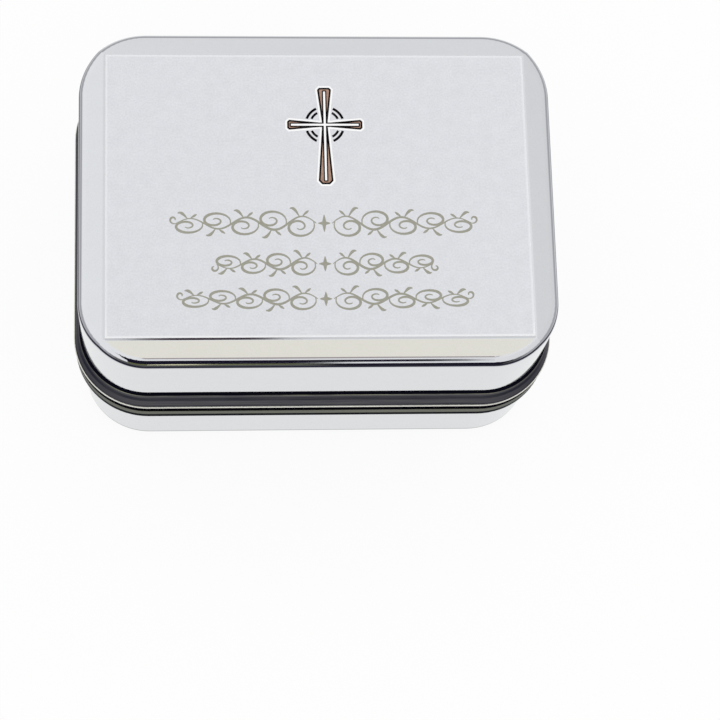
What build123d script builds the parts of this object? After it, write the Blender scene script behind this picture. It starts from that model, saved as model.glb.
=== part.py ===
from build123d import *
import os
from math import atan2, degrees, radians, tan

# A hinged keepsake box of pressed and plated sheet, lined with velvet. Millimetres.
# The origin is the centre of the underside. +Z is up, and the hinge is at the back, at +Y.

# ---- driving dimensions ------------------------------------------------------------------------
width = 90.0  # outline of lid and base along X
depth = 66.5  # outline of lid and base along Y
corner_radius = 12.8
total_height = 50.0
seam_height = 23.3  # middle of the gap between lid and base
seam_gap = 0.1
sheet = 0.8  # thickness of the pressed sheet

bevel_width = 5.2  # from the flat panel out to the wall
bevel_drop = 1.55
lid_edge_radius = 2.25  # between bevel and wall
base_edge_radius = 0.9  # between wall and floor of the base

band_proud = 1.4  # how far both bands stand out of the walls at their mouths
lid_band_height = 6.6
lid_band_ledge = 0.35  # how far the lid's band stands out at its top
lid_band_round = 0.15  # along the edge of that ledge
base_band_height = 5.6
base_band_round = 1.0  # along the foot of the base's band
bead_height = 0.8  # the bead along the foot of the lid's band
bead_proud = 0.15

open_angle = 100.0  # where the bands meet at the back and stop the lid
stop_spare = 2.0  # degrees
hinge_out = 0.45  # from the wall out to the hinge's axis
hinge_length = 36.0
knuckle_count = 5
knuckle_radius = 1.3
knuckle_gap = 0.15
knuckle_clearance = 0.25  # round a knuckle, in what it turns past
pin_radius = 0.6
pin_clearance = 0.05
pin_head_radius = 1.0
pin_head_length = 0.6
leaf_thickness = 0.6
leaf_corner_radius = 1.0
lid_leaf_height = 6.0
leaf_clearance = 0.3  # beside the hinge, in the bands and the sheet

liner_gap = 0.35  # between the sheet and the lining
liner_thickness = 1.6
liner_round = 0.7
lip_height = 2.5  # of the tray's wall above the seam
lip_clearance = 0.5  # from that lip up to the lid's lining
liner_top_gap = 2.0  # from the lid's edge down to its lining
pad_gap = 0.25  # between the pads and the walls of the lining
pad_round = 1.4
tray_pad_thickness = 3.5
lid_pad_thickness = 3.0
lid_pad_gap = 0.8  # between the lid's pad and the sheet
felt_thickness = 0.5
felt_inset = 4.0
level_tolerance = 0.01  # heights closer than this are one level

# ---- worked out from them ----------------------------------------------------------------------
base_mouth = seam_height - seam_gap / 2
lid_mouth = seam_height + seam_gap / 2
floor_top = felt_thickness + sheet
ceiling = total_height - sheet
lid_edge = total_height - bevel_drop
liner_inset = sheet + liner_gap
pad_inset = liner_inset + liner_thickness + pad_gap
hinge_y = depth / 2 + hinge_out
bevel_taper = degrees(atan2(bevel_width, bevel_drop))
stop_rise = (band_proud - hinge_out) * tan(radians((open_angle + stop_spare) / 2))
knuckle_length = (hinge_length - (knuckle_count - 1) * knuckle_gap) / knuckle_count
knuckle_pitch = knuckle_length + knuckle_gap
pin_reach = hinge_length / 2 + knuckle_gap + pin_head_length
pocket_half = pin_reach + leaf_clearance


def outline_block(inset, low, high):
    """A solid with the box's outline, smaller by inset on each side, between two heights."""
    with BuildPart() as block:
        with BuildSketch(Plane.XY.offset(low)):
            RectangleRounded(width - 2 * inset, depth - 2 * inset, corner_radius - inset)
        extrude(amount=high - low)
    return block.part


def runs_between(edge, low, high):
    """Whether an edge starts at low or above it and stays below high."""
    box = edge.bounding_box()
    return box.min.Z > low - level_tolerance and box.max.Z < high - level_tolerance


def lid_form(inset):
    """The lid's outer form, or its cavity where inset is the sheet's thickness."""
    form_top = total_height - inset
    form_edge = form_top - bevel_drop * (bevel_width - inset) / bevel_width
    with BuildPart() as form:
        add(outline_block(inset, form_edge, form_top))
        with BuildSketch(Plane.XY.offset(form_edge)):
            Rectangle(width - 2 * inset, depth - 2 * inset)
        extrude(amount=form_top - form_edge, taper=bevel_taper, mode=Mode.INTERSECT)
        add(outline_block(inset, lid_mouth, form_edge))
        rim = form.edges().filter_by(lambda edge: runs_between(edge, form_edge, form_top))
        fillet(rim, radius=lid_edge_radius - inset)
    return form.part


def hinge_rod(radius, start, length):
    """A round solid on the hinge's axis, from start along X."""
    with BuildPart() as rod:
        with BuildSketch(Plane.YZ.offset(start)):
            with Locations((hinge_y, seam_height)):
                Circle(radius)
        extrude(amount=length)
    return rod.part


def knuckles(first, radius, spare):
    """Every second knuckle of the hinge from the first on, spare longer at both ends."""
    with BuildPart() as row:
        for index in range(first, knuckle_count, 2):
            start = index * knuckle_pitch - hinge_length / 2
            add(hinge_rod(radius, start - spare, knuckle_length + 2 * spare))
    return row.part


def hinge_pocket(low, high):
    """The room for a leaf of the hinge in a band, between two heights."""
    with BuildPart() as pocket:
        with BuildSketch(Plane.XZ.offset(-depth / 2)):
            with Locations((0, (low + high) / 2)):
                Rectangle(2 * pocket_half, high - low)
        extrude(amount=-2 * band_proud)
    return pocket.part


def hinge_leaf(low, high, first, other):
    """A leaf on the back wall with its own knuckles from first on, clear of the other's."""
    with BuildPart() as leaf:
        with BuildSketch(Plane.XZ.offset(-depth / 2)):
            with Locations((0, (low + high) / 2)):
                Rectangle(hinge_length, high - low)
        extrude(amount=-leaf_thickness)
        free_end = Axis.Z if high > seam_height else -Axis.Z
        corners = leaf.edges().filter_by(Axis.Y).group_by(free_end)[-1]
        fillet(corners, radius=leaf_corner_radius)
        sweep_radius = knuckle_radius + knuckle_clearance
        add(knuckles(other, sweep_radius, knuckle_gap), mode=Mode.SUBTRACT)
        add(knuckles(first, knuckle_radius, 0))
        bore = hinge_rod(pin_radius + pin_clearance, -hinge_length, 2 * hinge_length)
        add(bore, mode=Mode.SUBTRACT)
    return leaf.part


def lining_wall(low, high):
    """A velvet-covered wall inside the sheet, between two heights."""
    with BuildPart() as wall:
        add(outline_block(liner_inset, low, high))
        core = outline_block(liner_inset + liner_thickness, low, high)
        add(core, mode=Mode.SUBTRACT)
    return wall.part


hinge_notch = hinge_rod(knuckle_radius + knuckle_clearance, -pocket_half, 2 * pocket_half)

# The left half of the wall's outline, from the middle of the front to the middle of the back.
with BuildLine() as half_outline:
    FilletPolyline(
        (0, -depth / 2, seam_height),
        (-width / 2, -depth / 2, seam_height),
        (-width / 2, depth / 2, seam_height),
        (0, depth / 2, seam_height),
        radius=corner_radius,
    )
# The bands' section: its x runs out from the wall, and its y up from the seam.
band_section = Plane(origin=(0, -depth / 2, seam_height), x_dir=(0, -1, 0), z_dir=(-1, 0, 0))

# ---- lid ---------------------------------------------------------------------------------------
with BuildPart() as lid_shell:
    add(lid_form(0))
    add(lid_form(sheet), mode=Mode.SUBTRACT)
    add(hinge_notch, mode=Mode.SUBTRACT)

with BuildPart() as lid_band:
    with BuildSketch(band_section):
        with BuildLine():
            Polyline(
                (0, lid_band_height),
                (0, seam_gap / 2),
                (hinge_out, seam_gap / 2),
                (band_proud, seam_gap / 2 + stop_rise),
            )
            ThreePointArc(
                (band_proud, seam_gap / 2 + stop_rise),
                (band_proud + bead_proud, seam_gap / 2 + stop_rise + bead_height / 2),
                (band_proud, seam_gap / 2 + stop_rise + bead_height),
            )
            Line(
                (band_proud, seam_gap / 2 + stop_rise + bead_height),
                (lid_band_ledge, lid_band_height - lid_band_round),
            )
            RadiusArc(
                (lid_band_ledge, lid_band_height - lid_band_round),
                (lid_band_ledge - lid_band_round, lid_band_height),
                -lid_band_round,
            )
            Line((lid_band_ledge - lid_band_round, lid_band_height), (0, lid_band_height))
        make_face()
    sweep(path=half_outline.wire())
    mirror(about=Plane.YZ)
    add(hinge_pocket(seam_height, seam_height + lid_band_height), mode=Mode.SUBTRACT)

# ---- base --------------------------------------------------------------------------------------
with BuildPart() as base_shell:
    add(outline_block(0, felt_thickness, base_mouth))
    fillet(base_shell.edges().group_by(Axis.Z)[0], radius=base_edge_radius)
    add(outline_block(sheet, floor_top, base_mouth), mode=Mode.SUBTRACT)
    add(hinge_notch, mode=Mode.SUBTRACT)

with BuildPart() as base_band:
    with BuildSketch(band_section):
        with BuildLine():
            Polyline(
                (0, -base_band_height),
                (0, -seam_gap / 2),
                (hinge_out, -seam_gap / 2),
                (band_proud, -seam_gap / 2 - stop_rise),
                (band_proud, base_band_round - base_band_height),
            )
            RadiusArc(
                (band_proud, base_band_round - base_band_height),
                (band_proud - base_band_round, -base_band_height),
                base_band_round,
            )
            Line((band_proud - base_band_round, -base_band_height), (0, -base_band_height))
        make_face()
    sweep(path=half_outline.wire())
    mirror(about=Plane.YZ)
    add(hinge_pocket(seam_height - base_band_height, seam_height), mode=Mode.SUBTRACT)

# ---- hinge -------------------------------------------------------------------------------------
with BuildPart() as hinge_lid_leaf:
    add(hinge_leaf(seam_height, seam_height + lid_leaf_height, 1, 0))

with BuildPart() as hinge_base_leaf:
    add(hinge_leaf(seam_height - base_band_height, seam_height, 0, 1))

with BuildPart() as hinge_pin:
    add(hinge_rod(pin_radius, -pin_reach, 2 * pin_reach))
    add(hinge_rod(pin_head_radius, -pin_reach, pin_head_length))
    add(hinge_rod(pin_head_radius, pin_reach - pin_head_length, pin_head_length))
    outer_rims = hinge_pin.edges().filter_by(GeomType.CIRCLE).group_by(Axis.X)
    fillet(outer_rims[0] + outer_rims[-1], radius=pin_head_length / 2)

# ---- lining ------------------------------------------------------------------------------------
with BuildPart() as tray_walls:
    add(lining_wall(floor_top, seam_height + lip_height))
    fillet(tray_walls.edges().group_by(Axis.Z)[-1], radius=liner_round)

with BuildPart() as lid_liner:
    add(lining_wall(seam_height + lip_height + lip_clearance, lid_edge - liner_top_gap))
    fillet(lid_liner.edges().group_by(Axis.Z)[0], radius=liner_round)

with BuildPart() as tray_pad:
    add(outline_block(pad_inset, floor_top, floor_top + tray_pad_thickness))
    fillet(tray_pad.edges().group_by(Axis.Z)[-1], radius=pad_round)

with BuildPart() as lid_pad:
    add(outline_block(pad_inset, ceiling - lid_pad_gap - lid_pad_thickness, ceiling - lid_pad_gap))
    fillet(lid_pad.edges().group_by(Axis.Z)[0], radius=pad_round)

with BuildPart() as underside_felt:
    add(outline_block(felt_inset, 0, felt_thickness))

# ---- files -------------------------------------------------------------------------------------
nodes = {
    "lid_shell": lid_shell,
    "lid_band": lid_band,
    "lid_liner": lid_liner,
    "lid_pad": lid_pad,
    "base_shell": base_shell,
    "base_band": base_band,
    "tray_walls": tray_walls,
    "tray_pad": tray_pad,
    "underside_felt": underside_felt,
    "hinge_lid_leaf": hinge_lid_leaf,
    "hinge_base_leaf": hinge_base_leaf,
    "hinge_pin": hinge_pin,
}
os.makedirs("parts", exist_ok=True)
for name, node in nodes.items():
    node.part.label = name
    export_step(node.part, f"parts/{name}.step")
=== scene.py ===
"""A hinged keepsake box: plated lid and base, dark mouldings round the seam, velvet inside."""
from math import atan2, cos, hypot, pi, radians, sin

import bmesh
import bpy
from mathutils import Matrix, Vector


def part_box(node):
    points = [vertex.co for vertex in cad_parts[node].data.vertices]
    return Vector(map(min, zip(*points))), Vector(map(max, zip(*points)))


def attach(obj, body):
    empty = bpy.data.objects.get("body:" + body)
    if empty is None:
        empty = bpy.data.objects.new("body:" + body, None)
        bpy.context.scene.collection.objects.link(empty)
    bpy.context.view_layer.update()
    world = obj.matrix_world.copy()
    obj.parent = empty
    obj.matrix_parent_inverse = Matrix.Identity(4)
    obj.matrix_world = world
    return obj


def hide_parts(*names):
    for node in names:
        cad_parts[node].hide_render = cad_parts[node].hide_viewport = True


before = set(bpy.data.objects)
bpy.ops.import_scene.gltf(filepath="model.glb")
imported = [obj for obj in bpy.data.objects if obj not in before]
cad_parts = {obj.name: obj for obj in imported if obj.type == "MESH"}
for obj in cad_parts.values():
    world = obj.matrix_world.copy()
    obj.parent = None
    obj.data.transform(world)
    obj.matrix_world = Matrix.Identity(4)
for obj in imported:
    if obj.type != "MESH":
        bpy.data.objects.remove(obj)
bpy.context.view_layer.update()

MM = 0.001

# ---- camera: where the picture was taken from, in millimetres and degrees ----------------------
CAMERA_PLACE = (-26.95, -157.25, 482.24)
CAMERA_PITCH = 73.355
CAMERA_YAW = 15.230
CAMERA_ROLL = 14.260
FOCAL_PIXELS = 2445.64
PICTURE_PIXELS = 720
SENSOR_WIDTH = 36.0

# ---- sizes read from the frame ------------------------------------------------------------------
lid_low, lid_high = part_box("lid_shell")
base_low, base_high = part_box("base_shell")
band_low, band_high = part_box("lid_band")
foot_low, foot_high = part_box("base_band")
LID_TOP = lid_high.z
SEAM = (band_low.z + foot_high.z) / 2

# ---- sizes of the lid and the lining, in millimetres ---------------------------------------------
CORNER_RADIUS = 12.8
BEVEL_WIDTH = 5.2
BEVEL_SLOPE = 1.55 / BEVEL_WIDTH
SOFT_EDGE = 0.7  # how far out from the panel the bevel's rounding reaches
SHOULDER_DROP = 1.07  # from the panel down to where the lid's rolled shoulder starts
LINING_THICKNESS = 1.6
LINING_ROUND = 0.7
CROSS_CENTRE = (1.56, 13.88)
ROWS_CENTRE = 1.0  # of the engraved rows, along X


# ---- finishes: arithmetic on sockets, and one method that adds a node ---------------------------
class Value:
    """A number that changes over a surface. Arithmetic on it adds the nodes that work it out."""

    def __init__(self, nodes, socket):
        self.nodes = nodes
        self.socket = socket

    def work_out(self, operation, *values, clamp=False):
        settings = {"operation": operation, "use_clamp": clamp}
        return self.nodes.add("ShaderNodeMath", settings, dict(enumerate(values)))[0]

    def __add__(self, other):
        return self.work_out("ADD", self, other)

    def __sub__(self, other):
        return self.work_out("SUBTRACT", self, other)

    def __rsub__(self, other):
        return self.work_out("SUBTRACT", other, self)

    def __mul__(self, other):
        return self.work_out("MULTIPLY", self, other)

    def __truediv__(self, other):
        return self.work_out("DIVIDE", self, other)

    __radd__ = __add__
    __rmul__ = __mul__

    def size(self):
        """The number without its sign."""
        return self.work_out("ABSOLUTE", self)

    def smaller_of(self, other):
        return self.work_out("MINIMUM", self, other)

    def larger_of(self, other):
        return self.work_out("MAXIMUM", self, other)

    def step(self, low, high):
        """0 below low, 1 above high, and a smooth rise between them."""
        settings = {"interpolation_type": "SMOOTHSTEP"}
        inputs = {"Value": self, "From Min": low, "From Max": high}
        return self.nodes.add("ShaderNodeMapRange", settings, inputs)["Result"]

    def between(self, low, high, soft):
        """1 between low and high, with edges as wide as soft."""
        return self.step(low - soft, low) * (1 - self.step(high, high + soft))


class Nodes:
    """The nodes of a material or of the world."""

    def __init__(self, tree):
        self.tree = tree
        tree.nodes.clear()

    def add(self, kind, settings=None, inputs=None):
        """Adds a node, with its settings first, and returns its outputs by name or number."""
        node = self.tree.nodes.new(kind)
        for name, value in (settings or {}).items():
            setattr(node, name, value)
        for name, value in (inputs or {}).items():
            self.feed(node.inputs[name], value)
        outputs = {socket.name: Value(self, socket) for socket in node.outputs}
        outputs.update({index: Value(self, socket) for index, socket in enumerate(node.outputs)})
        return outputs

    def feed(self, socket, value):
        if isinstance(value, Value):
            self.tree.links.new(value.socket, socket)
        elif socket.type == "RGBA" and len(value) == 3:
            socket.default_value = (*value, 1.0)
        else:
            socket.default_value = value

    def place(self):
        """The point on the object, in metres."""
        return self.add("ShaderNodeTexCoord")["Object"]

    def axes(self, vector):
        parts = self.add("ShaderNodeSeparateXYZ", inputs={0: vector})
        return parts["X"], parts["Y"], parts["Z"]

    def stretched(self, vector, scale):
        """A place with its three axes scaled apart, for a pattern that runs one way."""
        return self.add("ShaderNodeMapping", inputs={"Vector": vector, "Scale": scale})["Vector"]

    def noise(self, vector, scale, detail=2.0, roughness=0.5):
        inputs = {"Vector": vector, "Scale": scale, "Detail": detail, "Roughness": roughness}
        return self.add("ShaderNodeTexNoise", inputs=inputs)["Fac"]

    def blend(self, factor, first, second):
        """A colour between two others."""
        node = self.tree.nodes.new("ShaderNodeMix")
        node.data_type = "RGBA"
        self.feed(node.inputs[0], factor)
        self.feed(node.inputs[6], first)
        self.feed(node.inputs[7], second)
        return Value(self, node.outputs[2])

    def bump(self, height, distance, strength=1.0):
        inputs = {"Height": height, "Distance": distance, "Strength": strength}
        return self.add("ShaderNodeBump", inputs=inputs)["Normal"]

    def surface(self, inputs):
        """Ends a material in its shader."""
        shader = self.add("ShaderNodeBsdfPrincipled", inputs=inputs)["BSDF"]
        self.add("ShaderNodeOutputMaterial", inputs={"Surface": shader})


def new_finish(name):
    material = bpy.data.materials.new(name)
    material.use_nodes = True
    return material, Nodes(material.node_tree)


def scaled(colour, factor):
    return tuple(factor * part for part in colour)


# ---- finishes of the metal ----------------------------------------------------------------------
SILVER = (0.745, 0.752, 0.765)
SATIN = (0.800, 0.803, 0.828)


def silver_plate():
    """Polished plate with faint waves and wipe marks, and a satin panel on the flat of the lid, with a
    painted highlight along its edge.
    The rolled shoulder of the lid has a painted highlight above and a painted dark reflection line
    below; the base has a painted shade line at its foot."""
    material, nodes = new_finish("polished_plate")
    place = nodes.place()
    across, back, height = nodes.axes(place)
    panel = height.step(LID_TOP - 0.012 * MM, LID_TOP - 0.004 * MM)
    grain = nodes.noise(place, 2600.0, detail=3.0, roughness=0.7)
    mottle = nodes.noise(place, 420.0, detail=3.0)
    wiped = nodes.noise(nodes.stretched(place, (1.0, 6.0, 6.0)), 60.0, detail=4.0)
    waves = nodes.noise(place, 70.0, detail=1.0)
    speckle = (grain * 0.75 + mottle * 0.25).step(0.30, 0.70)
    satin = nodes.blend(speckle, scaled(SATIN, 0.94), scaled(SATIN, 1.06))
    to_side = (lid_high.x - across.size()).smaller_of(lid_high.y - back.size())
    # painted highlight along the edge of the satin panel, stronger near the front
    painted_edge_highlight = 1 - (to_side - BEVEL_WIDTH * MM).step(0.15 * MM, 0.50 * MM)
    near_front = (back * -1).step(25.0 * MM, 27.0 * MM)
    satin = nodes.blend(painted_edge_highlight * (0.55 + 0.35 * near_front), satin, (0.96, 0.96, 0.965))
    polish = nodes.blend(wiped * 0.5 + speckle * 0.5, scaled(SILVER, 0.965), scaled(SILVER, 1.025))
    above_shoulder = height - to_side * BEVEL_SLOPE - (LID_TOP - SHOULDER_DROP * MM)
    # painted highlight along the top of the lid's rolled shoulder
    light = above_shoulder.between(-0.30 * MM, -0.05 * MM, 0.08 * MM)
    # painted dark reflection line lower down the shoulder, all round the lid
    dark = above_shoulder.between(-1.60 * MM, -1.20 * MM, 0.07 * MM)
    polish = nodes.blend(light * 0.8, polish, (0.96, 0.96, 0.95))
    polish = nodes.blend(dark, polish, (0.030, 0.030, 0.055))
    # painted contact shade along the foot of the base
    painted_foot_shade = height.between(base_low.z, base_low.z + 1.20 * MM, 0.20 * MM)
    polish = nodes.blend(painted_foot_shade * 0.75, polish, (0.22, 0.22, 0.24))
    roughness = panel * (0.30 + 0.08 * grain) + (1 - panel) * (0.03 + 0.06 * wiped)
    out = ((LID_TOP - height) / (BEVEL_SLOPE * SOFT_EDGE * MM)).smaller_of(1.0)
    roll = out * (2 - out) * (0.5 * BEVEL_SLOPE * SOFT_EDGE * MM)
    relief = roll + (1 - panel) * waves * (0.020 * MM) + panel * grain * (0.0006 * MM)
    nodes.surface({
        "Base Color": nodes.blend(panel, polish, satin),
        "Metallic": 1.0,
        "Roughness": roughness,
        "Normal": nodes.bump(relief, 1.0),
    })
    return material


def dark_moulding():
    """Dark plating with drawn streaks. Painted shade makes the ledge, the groove and the base band's
    foot black; painted highlights light the top rim and the base band, painted reflection bands
    lighten the face, and the near-white bead is partly worn plating, partly a painted highlight.
    """
    material, nodes = new_finish("dark_plating")
    place = nodes.place()
    height = nodes.axes(place)[2]
    drawn = nodes.noise(nodes.stretched(place, (1.0, 1.0, 28.0)), 90.0, detail=4.0, roughness=0.65)
    specks = nodes.noise(place, 1500.0, detail=2.0)
    top = band_high.z
    bead = height.between(SEAM + 1.38 * MM, SEAM + 2.00 * MM, 0.12 * MM)
    groove = height.between(SEAM - 1.12 * MM, SEAM + 1.12 * MM, 0.12 * MM)
    ledge = height.step(top - 0.20 * MM, top - 0.10 * MM)
    rim = height.between(top - 0.40 * MM, top - 0.26 * MM, 0.06 * MM)
    # painted shade at the foot of the base band
    painted_foot_shade = 1 - height.step(foot_low.z + 2.25 * MM, foot_low.z + 2.65 * MM)
    # lighter bands at two set heights are a painted reflection; the drawn noise adds real streaks
    sheen_and_streaks = height.between(top - 0.90 * MM, top - 0.35 * MM, 0.20 * MM)
    sheen_and_streaks = sheen_and_streaks.larger_of(0.8 * height.between(SEAM + 2.9 * MM, SEAM + 4.1 * MM, 0.45 * MM))
    sheen_and_streaks = (0.75 * sheen_and_streaks + 0.5 * drawn.step(0.35, 0.70)).smaller_of(1.0)
    face = nodes.blend(sheen_and_streaks, (0.045, 0.045, 0.056), (0.125, 0.123, 0.130))
    # the base band is painted lighter than the lid's band: a painted highlight on the same dark
    # plating
    rail_highlight = nodes.blend(drawn, (0.225, 0.235, 0.185), (0.400, 0.410, 0.335))
    face = nodes.blend(height.step(SEAM - 0.1 * MM, SEAM + 0.1 * MM), rail_highlight, face)
    # painted highlight along the top rim of the lid's band
    face = nodes.blend(rim * drawn.step(0.40, 0.60), face, (0.36, 0.36, 0.26))
    # painted shade: black in the groove, on the ledge and at the base band's foot
    dark = nodes.blend(groove.larger_of(ledge).larger_of(painted_foot_shade), face, (0.004, 0.004, 0.009))
    # the bead is near-white: worn plating, and a painted highlight line
    wear_and_highlight = bead * (0.85 + 0.4 * specks).smaller_of(1.0)
    nodes.surface({
        "Base Color": nodes.blend(wear_and_highlight, dark, (1.0, 0.985, 0.90)),
        "Metallic": 1.0,
        "Roughness": 0.24 + 0.16 * drawn,
        "Specular Tint": (0.35, 0.35, 0.37, 1.0),
        "Normal": nodes.bump(drawn, 0.010 * MM),
    })
    return material


def nickel():
    """Brushed nickel for the hinge."""
    material, nodes = new_finish("brushed_nickel")
    brushing = nodes.noise(nodes.stretched(nodes.place(), (1.0, 8.0, 8.0)), 400.0, detail=4.0)
    nodes.surface({
        "Base Color": nodes.blend(brushing, (0.50, 0.49, 0.48), (0.66, 0.65, 0.64)),
        "Metallic": 1.0,
        "Roughness": 0.22 + 0.18 * brushing,
        "Normal": nodes.bump(brushing, 0.006 * MM),
    })
    return material


# ---- finishes of the engraving ------------------------------------------------------------------
def engraved_metal(name, dark, light, metallic, roughness):
    """Cut or filled metal, with the mottle that the cutting leaves."""
    material, nodes = new_finish(name)
    place = nodes.place()
    mottle = nodes.noise(place, 1800.0, detail=3.0, roughness=0.6)
    nodes.surface({
        "Base Color": nodes.blend(mottle, dark, light),
        "Metallic": metallic,
        "Roughness": roughness + 0.1 * mottle,
        "Normal": nodes.bump(mottle, 0.008 * MM),
    })
    return material


# ---- finishes of the lining ---------------------------------------------------------------------
def velvet():
    """Short black pile that is brushed in patches and catches light at its rims."""
    material, nodes = new_finish("black_velvet")
    place = nodes.place()
    pile = nodes.noise(place, 2400.0, detail=2.0, roughness=0.7)
    brushed = nodes.noise(place, 45.0, detail=3.0)
    nap = nodes.blend(brushed.step(0.35, 0.65), (0.016, 0.016, 0.019), (0.034, 0.034, 0.040))
    nodes.surface({
        "Base Color": nodes.blend(pile * 0.6, nap, (0.065, 0.065, 0.074)),
        "Roughness": 0.85 + 0.1 * pile,
        "Sheen Weight": 0.9,
        "Sheen Roughness": 0.32,
        "Sheen Tint": (0.62, 0.63, 0.70),
        "Specular IOR Level": 0.15,
        "Normal": nodes.bump(pile + 0.8 * brushed, 0.10 * MM),
    })
    return material


def felt():
    """Pressed wool, with matted fibres."""
    material, nodes = new_finish("pressed_felt")
    place = nodes.place()
    fibres = nodes.noise(place, 900.0, detail=6.0, roughness=0.75)
    clumps = nodes.noise(place, 160.0, detail=3.0)
    mat = nodes.blend(clumps, (0.018, 0.018, 0.021), (0.034, 0.034, 0.038))
    nodes.surface({
        "Base Color": nodes.blend(fibres.step(0.45, 0.75), mat, (0.075, 0.075, 0.082)),
        "Roughness": 0.95,
        "Sheen Weight": 0.25,
        "Specular IOR Level": 0.1,
        "Normal": nodes.bump(fibres, 0.12 * MM),
    })
    return material


# ---- studio -------------------------------------------------------------------------------------
def add_camera():
    turn = Matrix.Rotation(radians(-CAMERA_YAW), 4, "Z")
    tilt = Matrix.Rotation(radians(90 - CAMERA_PITCH), 4, "X")
    roll = Matrix.Rotation(radians(CAMERA_ROLL), 4, "Z")
    data = bpy.data.cameras.new("camera")
    data.sensor_width = SENSOR_WIDTH
    data.lens = FOCAL_PIXELS / PICTURE_PIXELS * SENSOR_WIDTH
    data.clip_start = 0.01
    camera = bpy.data.objects.new("camera", data)
    camera.matrix_world = Matrix.Translation(Vector(CAMERA_PLACE) * MM) @ turn @ tilt @ roll
    bpy.context.scene.collection.objects.link(camera)
    bpy.context.scene.camera = camera


DUSK = (0.46, 0.46, 0.49)  # the tone that mirrors see along the horizon
DARK_DUSK = (0.11, 0.11, 0.11)  # and straight ahead of the box's front


def add_world():
    """Plain soft light. Mirrors see a pale room, grey along the horizon, with a dark bar in front
    and a small dark seam overhead."""
    world = bpy.data.worlds.new("studio")
    world.use_nodes = True
    bpy.context.scene.world = world
    nodes = Nodes(world.node_tree)
    across, back, up = nodes.axes(nodes.add("ShaderNodeTexCoord")["Generated"])
    front = (back * -1).larger_of(0.0)
    side_tone = 0.94 - 0.11 * across - 0.03 * back
    top_tone = 1.085 + 0.25 * across - 0.42 * back
    overhead = up.step(0.80, 0.93)
    tone = (overhead * top_tone + (1 - overhead) * side_tone).smaller_of(1.0)
    pale = nodes.blend(tone, (0.0, 0.0, 0.0), (0.975, 0.985, 1.0))
    warm = (up - 2.475 * front).step(0.0, 0.03) * front.step(0.12, 0.22)
    warm = warm * across.between(-0.030, 0.150, 0.006)
    wall = nodes.blend(warm, pale, (0.98, 0.955, 0.86))
    ahead = front.step(0.30, 0.45)
    hem = (up - 2.30 * front).between(-0.30, 0.06, 0.02) * front.step(0.2, 0.3)
    wall = nodes.blend(hem * across.between(-0.03, 0.15, 0.01) * 0.8, wall, (0.30, 0.24, 0.25))
    seam = back.between(-0.08, 0.20, 0.02) * up.step(0.95, 0.97)
    seam = seam * (0.20 * across.between(-0.05, 0.15, 0.02)
                   + 0.80 * across.between(-0.004, 0.040, 0.012))
    wall = nodes.blend(seam, wall, (0.02, 0.004, 0.018))
    horizon = nodes.blend(front.step(0.72, 0.90), DUSK, DARK_DUSK)
    room = nodes.blend(up.step(0.0, 0.20), horizon, wall)
    gold = (0.21 * front - up).step(-0.03, 0.03) * ahead * across.between(-0.28, 0.050, 0.02)
    gilt = nodes.blend(across.between(-0.007, 0.008, 0.003), (0.15, 0.17, 0.07), (0.95, 0.92, 0.62))
    room = nodes.blend(gold, room, gilt)
    upper = (up - 0.46 * front).step(-0.03, 0.03) * (1.05 * front - up).step(-0.03, 0.03)
    lower = (up - 0.18 * front).step(-0.03, 0.03) * (0.55 * front - up).step(-0.03, 0.03)
    low = (0.14 * front - up).step(-0.03, 0.03)
    bars = upper * across.between(-0.28, 0.110, 0.02)
    bars = bars.larger_of(lower * across.between(-0.28, 0.055, 0.02))
    bars = bars.larger_of(low * across.between(0.060, 0.40, 0.01)) * ahead
    room = nodes.blend(bars, room, (0.010, 0.008, 0.022))
    glossy = nodes.add("ShaderNodeLightPath")["Is Glossy Ray"]
    shown = nodes.blend(glossy, (1.0, 1.0, 1.0), room)
    background = nodes.add("ShaderNodeBackground", inputs={"Color": shown, "Strength": 1.0})
    nodes.add("ShaderNodeOutputWorld", inputs={"Surface": background["Background"]})


FLOOR_HALF = 3.0
FLOOR_DROP = 0.05 * MM  # keeps the table clear of the felt's flat underside


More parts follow.
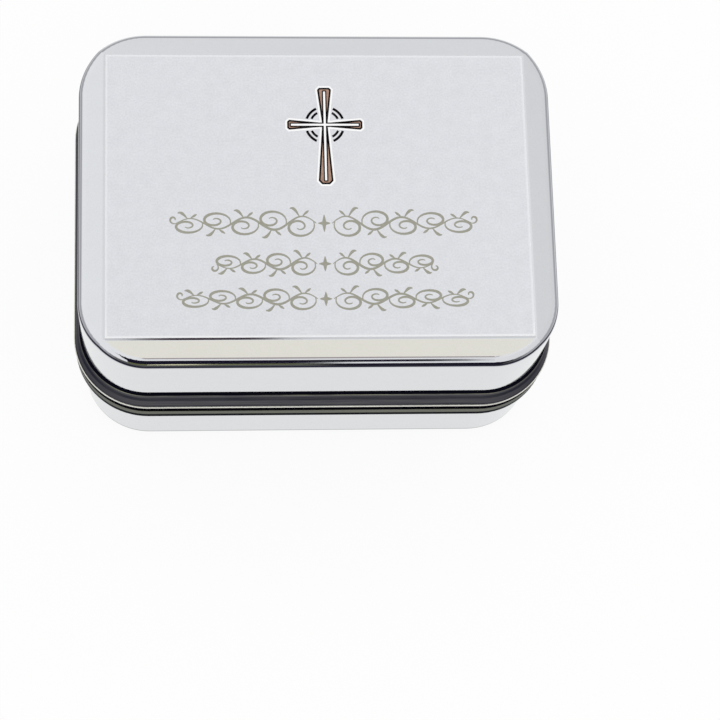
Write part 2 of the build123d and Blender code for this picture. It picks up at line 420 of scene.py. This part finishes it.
def add_floor():
    """A plain white table that keeps part of the box's shadow and is clear when seen from below.
    Mirrors see it darken far away, and black far off in front, a little to the right, below the
    dark bar of the room."""
    bpy.ops.object.select_all(action="DESELECT")
    bpy.ops.mesh.primitive_plane_add(size=2 * FLOOR_HALF, location=(0.0, 0.0, -FLOOR_DROP))
    floor = bpy.context.object
    floor.name = "floor"
    bpy.ops.object.transform_apply(location=True, rotation=True, scale=True)
    material, nodes = new_finish("white_table")
    path = nodes.add("ShaderNodeLightPath")
    glossy = path["Is Glossy Ray"]
    place = nodes.place()
    across, back, _ = nodes.axes(place)
    distance = nodes.add("ShaderNodeVectorMath", {"operation": "LENGTH"}, {0: place})["Value"]
    far = glossy * distance.step(0.065, 0.210)
    in_front = (back * -1).step(0.120, 0.170)
    to_right = (across + 0.06 * back).step(-0.004, 0.004) * (0 - across - 0.42 * back).step(0.0, 0.02)
    ahead = (back * -1 / distance).step(0.72, 0.90)
    dusk = nodes.blend(ahead, DUSK, DARK_DUSK)
    dusk = nodes.blend(in_front * to_right, dusk, (0.012, 0.010, 0.022))
    table = nodes.blend(glossy, (1.0, 1.0, 1.0), (0.925, 0.932, 0.932))
    colour = nodes.blend(far, table, dusk)
    seen = path["Is Camera Ray"].larger_of(glossy) * 0.90
    lit = nodes.add("ShaderNodeBsdfDiffuse", inputs={"Color": (0.93, 0.93, 0.93)})["BSDF"]
    glow = nodes.add("ShaderNodeEmission", inputs={"Color": colour})["Emission"]
    both = nodes.add("ShaderNodeMixShader", inputs={0: seen.larger_of(far), 1: lit, 2: glow})["Shader"]
    below = nodes.add("ShaderNodeNewGeometry")["Backfacing"]
    clear = nodes.add("ShaderNodeBsdfTransparent")["BSDF"]
    surface = nodes.add("ShaderNodeMixShader", inputs={0: below, 1: both, 2: clear})["Shader"]
    nodes.add("ShaderNodeOutputMaterial", inputs={"Surface": surface})
    floor.data.materials.append(material)


# ---- modelling: an operator acts on what is selected, so each step selects its own ----------------
def select_only(piece):
    bpy.ops.object.select_all(action="DESELECT")
    piece.select_set(True)
    bpy.context.view_layer.objects.active = piece


def open_piece(piece):
    select_only(piece)
    bpy.ops.object.mode_set(mode="EDIT")


def close_piece():
    bpy.ops.object.mode_set(mode="OBJECT")


def pick(piece, kind, wanted):
    """Selects only the faces, edges or points of the open piece for which wanted is true."""
    bpy.ops.mesh.select_mode(type={"faces": "FACE", "edges": "EDGE", "verts": "VERT"}[kind])
    bpy.ops.mesh.select_all(action="DESELECT")
    shape = bmesh.from_edit_mesh(piece.data)
    for element in getattr(shape, kind):
        if wanted(element):
            element.select_set(True)
    bmesh.update_edit_mesh(piece.data)


def new_plane(name, half_x, half_y, place=(0.0, 0.0, 0.0)):
    """A flat rectangle at its size and place, in metres, left open with all of it selected."""
    bpy.ops.object.select_all(action="DESELECT")
    bpy.ops.mesh.primitive_plane_add(size=2.0, location=place)
    piece = bpy.context.object
    piece.name = name
    piece.scale = (half_x, half_y, 1.0)
    bpy.ops.object.transform_apply(location=True, rotation=True, scale=True)
    bpy.ops.object.mode_set(mode="EDIT")
    bpy.ops.mesh.select_all(action="SELECT")
    return piece


def rounded_plate(name, half_x, half_y, radius, height, segments):
    """A flat face with round corners, left open with all of it selected."""
    piece = new_plane(name, half_x, half_y, (0.0, 0.0, height))
    bpy.ops.mesh.bevel(offset=radius, segments=segments, affect="VERTICES")
    bpy.ops.mesh.select_mode(type="FACE")
    bpy.ops.mesh.select_all(action="SELECT")
    return piece


def thicken(amount):
    """Draws all faces of the open piece up into a closed solid."""
    bpy.ops.mesh.select_all(action="SELECT")
    bpy.ops.mesh.extrude_region_move(TRANSFORM_OT_translate={"value": (0.0, 0.0, amount)})
    bpy.ops.mesh.select_all(action="SELECT")
    bpy.ops.mesh.normals_make_consistent(inside=False)


def finish_piece(piece, finish, body):
    """Gives a piece its finish and the body that it moves with."""
    piece.data.materials.clear()
    piece.data.materials.append(finish)
    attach(piece, body)


def smooth(piece, degrees=35.0):
    select_only(piece)
    bpy.ops.object.shade_smooth_by_angle(angle=radians(degrees))


# ---- lining ---------------------------------------------------------------------------------------
def lining(name, node, low_is_rounded, finish, body):
    """The velvet-covered wall in place of a node, with its free rim rolled over."""
    low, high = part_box(node)
    radius = (CORNER_RADIUS - (lid_high.x / MM - high.x / MM)) * MM
    piece = rounded_plate(name, high.x, high.y, radius, low.z, 14)
    bpy.ops.mesh.inset(thickness=LINING_THICKNESS * MM)
    bpy.ops.mesh.delete(type="FACE")
    thicken(high.z - low.z)
    rim = low.z if low_is_rounded else high.z

    def on_rim(edge):
        flat = all(abs(point.co.z - rim) < 0.01 * MM for point in edge.verts)
        upright = any(abs(face.normal.z) < 0.5 for face in edge.link_faces)
        return flat and upright

    pick(piece, "edges", on_rim)
    bpy.ops.mesh.bevel(offset=LINING_ROUND * MM, segments=4, affect="EDGES")
    close_piece()
    smooth(piece)
    finish_piece(piece, finish, body)
    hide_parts(node)
    return piece


SWELL_SCALE = 10.0  # the cloth solver is steady at this many times the real size
PAD_SLACK = 0.1 * MM  # the pad starts this much inside its room
PAD_SPREAD = 0.2 * MM  # and its sides may press out of it this far, up to the lining's wall
PAD_FLAT = 0.84  # its thickness before it is filled, as a share of the room's
PAD_RISE = 1.2 * MM  # as far as any point may move


def swell(pad, half_x, half_y):
    """Fills a closed pad with pressure, and keeps each point near where it started."""
    before = [point.co.copy() for point in pad.data.vertices]
    cloth = pad.modifiers.new("filling", "CLOTH")
    cloth.settings.use_pressure = True
    cloth.settings.uniform_pressure_force = 4.0
    cloth.settings.effector_weights.gravity = 0.0
    scene = bpy.context.scene
    for number in range(1, 21):
        scene.frame_set(number)
    select_only(pad)
    bpy.ops.object.modifier_apply(modifier=cloth.name)
    scene.frame_set(1)
    for point, start in zip(pad.data.vertices, before):
        near_edge = max(abs(start.x) / half_x, abs(start.y) / half_y)
        most = PAD_RISE * SWELL_SCALE * (1.0 - 0.75 * min(near_edge, 1.0) ** 4)
        move = point.co - start
        if move.length > most:
            point.co = start + move * (most / move.length)


def tray_cushion(finish):
    """The velvet pad on the tray's floor: crowned, with its sides drawn in, flat underneath."""
    low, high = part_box("tray_pad")
    radius = (CORNER_RADIUS - (lid_high.x - high.x) / MM) * MM
    half_x = (high.x - PAD_SLACK) * SWELL_SCALE
    half_y = (high.y - PAD_SLACK) * SWELL_SCALE
    pad = rounded_plate("tray_cushion", half_x, half_y, radius * SWELL_SCALE, 0.0, 8)
    thicken((high.z - low.z) * PAD_FLAT * SWELL_SCALE)
    close_piece()
    remesh = pad.modifiers.new("even", "REMESH")
    remesh.mode = "VOXEL"
    remesh.voxel_size = 0.009
    bpy.ops.object.modifier_apply(modifier=remesh.name)
    swell(pad, half_x, half_y)
    pad.scale = (1 / SWELL_SCALE, 1 / SWELL_SCALE, 1 / SWELL_SCALE)
    pad.location = (0.0, 0.0, low.z)
    select_only(pad)
    bpy.ops.object.transform_apply(location=True, rotation=True, scale=True)
    for point in pad.data.vertices:
        point.co.z = min(max(point.co.z, low.z), high.z)
        point.co.x = min(max(point.co.x, low.x - PAD_SPREAD), high.x + PAD_SPREAD)
        point.co.y = min(max(point.co.y, low.y - PAD_SPREAD), high.y + PAD_SPREAD)
    pad.modifiers.new("even_out", "SUBSURF").levels = 1
    pad.modifiers["even_out"].render_levels = 1
    bpy.ops.object.modifier_apply(modifier="even_out")
    bpy.ops.object.shade_smooth()
    finish_piece(pad, finish, "base")
    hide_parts("tray_pad")
    return pad


def lid_cushion(tray_pad, finish):
    """The same pad again, turned over and pressed a little flatter, under the lid's top."""
    low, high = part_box("lid_pad")
    tray_low, tray_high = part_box("tray_pad")
    pad = tray_pad.copy()
    pad.data = tray_pad.data.copy()
    pad.name = "lid_cushion"
    for key in [key for key in pad.keys() if key.startswith("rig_")]:
        del pad[key]
    bpy.context.scene.collection.objects.link(pad)
    squeeze = (high.z - low.z) / (tray_high.z - tray_low.z)
    for point in pad.data.vertices:
        point.co.z = high.z - (point.co.z - tray_low.z) * squeeze
    open_piece(pad)
    bpy.ops.mesh.select_all(action="SELECT")
    bpy.ops.mesh.normals_make_consistent(inside=False)
    close_piece()
    finish_piece(pad, finish, "lid")
    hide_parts("lid_pad")
    return pad


def underside_felt(finish):
    """The felt under the base, with a softly cut edge."""
    low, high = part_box("underside_felt")
    radius = (CORNER_RADIUS - (lid_high.x - high.x) / MM) * MM
    piece = rounded_plate("felt_sole", high.x, high.y, radius, low.z, 12)
    thicken(high.z - low.z)
    pick(piece, "edges", lambda edge: abs(edge.verts[0].co.z - edge.verts[1].co.z) < 0.01 * MM)
    bpy.ops.mesh.bevel(offset=0.12 * MM, segments=2, affect="EDGES")
    close_piece()
    smooth(piece)
    finish_piece(piece, finish, "base")
    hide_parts("underside_felt")
    return piece


# ---- engraving --------------------------------------------------------------------------------------
UP, DOWN, LEFT, RIGHT = (0, 1), (0, -1), (-1, 0), (1, 0)


def crossed_arms(name, neck_x, neck_y, arms):
    """A flat cross drawn out of a small rectangle. Each arm has its direction, reach, half width
    and end chamfer, in millimetres. It is left open."""
    piece = new_plane(name, neck_x * MM, neck_y * MM)
    for (to_x, to_y), reach, half_width, chamfer in arms:
        neck = neck_x if to_x else neck_y
        neck_across = neck_y if to_x else neck_x

        def at_neck(edge):
            return all(abs(p.co.x * to_x + p.co.y * to_y - neck * MM) < 1e-6 for p in edge.verts)

        pick(piece, "edges", at_neck)
        step = (reach - neck) * MM
        move = {"value": (to_x * step, to_y * step, 0.0)}
        bpy.ops.mesh.extrude_region_move(TRANSFORM_OT_translate=move)
        spread = half_width / neck_across
        bpy.ops.transform.resize(value=(1.0 if to_x else spread, spread if to_x else 1.0, 1.0))
        if chamfer:
            bpy.ops.mesh.bevel(offset=chamfer * MM, segments=1, affect="VERTICES")
    bpy.ops.mesh.select_mode(type="FACE")
    bpy.ops.mesh.select_all(action="SELECT")
    return piece


def split_border(piece, border, inner_name):
    """Cuts the open piece into a border and what it encloses, which becomes a piece of its own."""
    bpy.ops.mesh.select_all(action="SELECT")
    bpy.ops.mesh.inset(thickness=border * MM)
    bpy.ops.mesh.separate(type="SELECTED")
    close_piece()
    inner = next(o for o in bpy.context.selected_objects if o != piece)
    inner.name = inner_name
    return inner


def set_on_lid(piece, height, finish):
    """Gives an engraved shape its thickness and its place on the panel."""
    open_piece(piece)
    thicken(height * MM)
    close_piece()
    piece.location = (CROSS_CENTRE[0] * MM, CROSS_CENTRE[1] * MM, LID_TOP)
    select_only(piece)
    bpy.ops.object.transform_apply(location=True, rotation=True, scale=True)
    finish_piece(piece, finish, "lid")


def engraved_cross(black, copper, painted_glint):
    """A traditional cross with flared arms: black outline, copper fill and a bright middle line. The
    middle line and a thin border round the outline are painted white, a painted glint.
    """
    halo = crossed_arms("cross_glint_border", 0.93, 0.80, [
        (UP, 7.88, 1.78, 0.66), (DOWN, 12.34, 1.83, 0.94), (LEFT, 7.50, 1.42, 0.62),
        (RIGHT, 7.50, 1.42, 0.62)])
    outline = split_border(halo, 0.36, "cross_outline")
    open_piece(outline)
    inlay = split_border(outline, 0.33, "cross_inlay")
    channel = crossed_arms("cross_channel", 0.45, 0.45, [
        (UP, 7.00, 0.44, 0.14), (DOWN, 11.46, 0.44, 0.14), (LEFT, 6.68, 0.44, 0.14),
        (RIGHT, 6.68, 0.44, 0.14)])
    line = split_border(channel, 0.25, "cross_line")
    set_on_lid(halo, 0.010, painted_glint)
    set_on_lid(outline, 0.045, black)
    set_on_lid(inlay, 0.025, copper)
    set_on_lid(channel, 0.035, black)
    set_on_lid(line, 0.050, painted_glint)


def ring_arcs(name, radius, stroke, start, end, finish):
    """Four arcs of a ring, one between each two arms of the cross, from start to end in degrees."""
    bpy.ops.object.select_all(action="DESELECT")
    outer = (radius + stroke / 2) * MM
    bpy.ops.mesh.primitive_circle_add(vertices=180, radius=outer, fill_type="NOTHING")
    piece = bpy.context.object
    piece.name = name
    bpy.ops.object.mode_set(mode="EDIT")

    def between_arcs(point):
        around = abs(atan2(point.co.y, point.co.x)) * 180 / pi
        return not start <= min(around, 180 - around) <= end

    pick(piece, "verts", between_arcs)
    bpy.ops.mesh.delete(type="VERT")
    bpy.ops.mesh.select_all(action="SELECT")
    bpy.ops.mesh.extrude_edges_move()
    shrink = (radius - stroke / 2) / (radius + stroke / 2)
    bpy.ops.transform.resize(value=(shrink, shrink, 1.0), center_override=(0.0, 0.0, 0.0))
    close_piece()
    set_on_lid(piece, 0.03, finish)


def spiral(centre, start, turns, squash, end_share):
    """Points that wind from start round centre inwards, as (x, y)."""
    across, along = start[0] - centre[0], (start[1] - centre[1]) / squash
    reach, angle = hypot(across, along), atan2(along, across)
    points = []
    for number in range(33):
        share = number / 32
        radius = reach * (1 - (1 - end_share) * share ** 0.85)
        turned = angle + turns * 2 * pi * share
        points.append((centre[0] + radius * cos(turned), centre[1] + squash * radius * sin(turned)))
    return points


def tapered(points, thickest, peak=0.35, thinnest=0.08):
    """A stroke: points with a half thickness that swells to its peak and thins to both ends."""
    last = len(points) - 1
    stroke = []
    for number, (x, y) in enumerate(points):
        share = number / last
        swell_share = share / peak if share < peak else (1 - share) / (1 - peak)
        stroke.append((x, y, thinnest + (thickest - thinnest) * max(swell_share, 0.0) ** 0.8))
    return stroke


def scroll_strokes(half_length, height, curls):
    """The right half of a vine scroll: a waving stem, a curl in each hollow, a leaf on each crest."""
    first, last = 1.5, half_length - 1.6
    pitch = (last - first) / curls
    strokes = []
    stem = []
    for number in range(24 * curls + 1):
        share = number / (24 * curls)
        fade = 1 - 0.35 * share
        x = first + (last - first) * share
        stem.append((x, 0.20 * height * fade * sin(pi * curls * share)))
    strokes.append(tapered(stem, 0.24, 0.3))
    for number in range(curls):
        side = 1 if number % 2 == 0 else -1
        fade = 1 - 0.35 * (number + 0.5) / curls
        middle = first + pitch * (number + 0.5)
        root = (first + pitch * number + 0.1 * pitch, side * 0.06 * height)
        hollow = (middle + 0.12 * pitch, -side * 0.10 * height * fade)
        squash = 0.36 * height * fade / (0.62 * pitch)
        strokes.append(tapered(spiral(hollow, root, side * 1.45, squash, 0.16), 0.27, 0.3))
        crest = 0.20 * height * fade
        leaf = [(middle + pitch * (0.10 + 0.34 * share),
                 side * (crest + height * 0.24 * fade * sin(pi * 0.62 * share)))
                for share in [n / 12 for n in range(13)]]
        strokes.append(tapered(leaf, 0.30, 0.55))
        bud = [(middle - pitch * (0.02 + 0.22 * share),
                side * (crest + height * 0.17 * fade * share ** 0.8))
               for share in [n / 10 for n in range(11)]]
        strokes.append(tapered(bud, 0.24, 0.6))
    tip = spiral((last + 0.45, 0.75 * (1 if curls % 2 else -1)), (last, 0.0), 0.9, 1.0, 0.3)
    strokes.append(tapered(tip, 0.22, 0.5))
    return strokes


def scroll_row(name, middle_y, half_length, height, curls, finish):
    """One engraved row of vine scroll, the same to the left and to the right of a small star."""
    right = scroll_strokes(half_length, height, curls)
    left = [[(-x, y, width) for x, y, width in stroke] for stroke in right]
    star = [tapered([(1.15 * (n / 8 - 1), 0.0) for n in range(17)], 0.42, 0.5, 0.05),
            tapered([(0.0, 0.24 * height * (n / 8 - 1)) for n in range(17)], 0.42, 0.5, 0.05)]
    curve = bpy.data.curves.new(name, "CURVE")
    curve.dimensions = "3D"
    curve.bevel_depth = MM
    curve.bevel_resolution = 2
    curve.use_fill_caps = True
    for stroke in right + left + star:
        spline = curve.splines.new("POLY")
        spline.points.add(len(stroke) - 1)
        for point, (x, y, width) in zip(spline.points, stroke):
            point.co = (x * MM, y * MM, 0.0, 1.0)
            point.radius = width
    piece = bpy.data.objects.new(name, curve)
    bpy.context.scene.collection.objects.link(piece)
    select_only(piece)
    bpy.ops.object.convert(target="MESH")
    piece = bpy.context.object
    piece.scale = (1.0, 1.0, 0.09)
    piece.location = (ROWS_CENTRE * MM, middle_y * MM, LID_TOP)
    bpy.ops.object.transform_apply(location=True, rotation=True, scale=True)
    smooth(piece, 50.0)
    finish_piece(piece, finish, "lid")


# ---- putting it together ----------------------------------------------------------------------------
def dress(node, material):
    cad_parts[node].material_slots[0].material = material


bpy.context.scene.view_settings.view_transform = "Standard"
add_camera()
add_world()
add_floor()

plate = silver_plate()
for node in ("lid_shell", "base_shell"):
    dress(node, plate)
moulding = dark_moulding()
for node in ("lid_band", "base_band"):
    dress(node, moulding)
hinge = nickel()
for node in ("hinge_lid_leaf", "hinge_base_leaf", "hinge_pin"):
    dress(node, hinge)

pile = velvet()
lining("tray_lining", "tray_walls", False, pile, "base")
lining("lid_lining", "lid_liner", True, pile, "lid")
cushion = tray_cushion(pile)
lid_cushion(cushion, pile)
underside_felt(felt())

black = engraved_metal("black_cut", (0.002, 0.001, 0.002), (0.005, 0.003, 0.004), 0.9, 0.40)
copper = engraved_metal("copper_fill", (0.25, 0.13, 0.085), (0.62, 0.42, 0.32), 0.7, 0.38)
# painted glint: white, not metal, for the bright cut lines of the cross and its border
painted_glint = engraved_metal("painted_glint_cut", (0.97, 0.97, 0.97), (1.0, 1.0, 1.0), 0.0, 0.35)
frosted = engraved_metal("frosted_cut", (0.29, 0.285, 0.225), (0.42, 0.41, 0.345), 0.3, 0.55)
engraved_cross(black, copper, painted_glint)
ring_arcs("ring_outer", 3.62, 0.48, 19.5, 65.5, black)
ring_arcs("ring_inner", 2.77, 0.44, 25.0, 61.5, black)
scroll_row("scroll_upper", -5.85, 29.3, 7.1, 5, frosted)
scroll_row("scroll_middle", -13.85, 21.8, 6.1, 4, frosted)
scroll_row("scroll_lower", -20.7, 28.1, 5.7, 5, frosted)
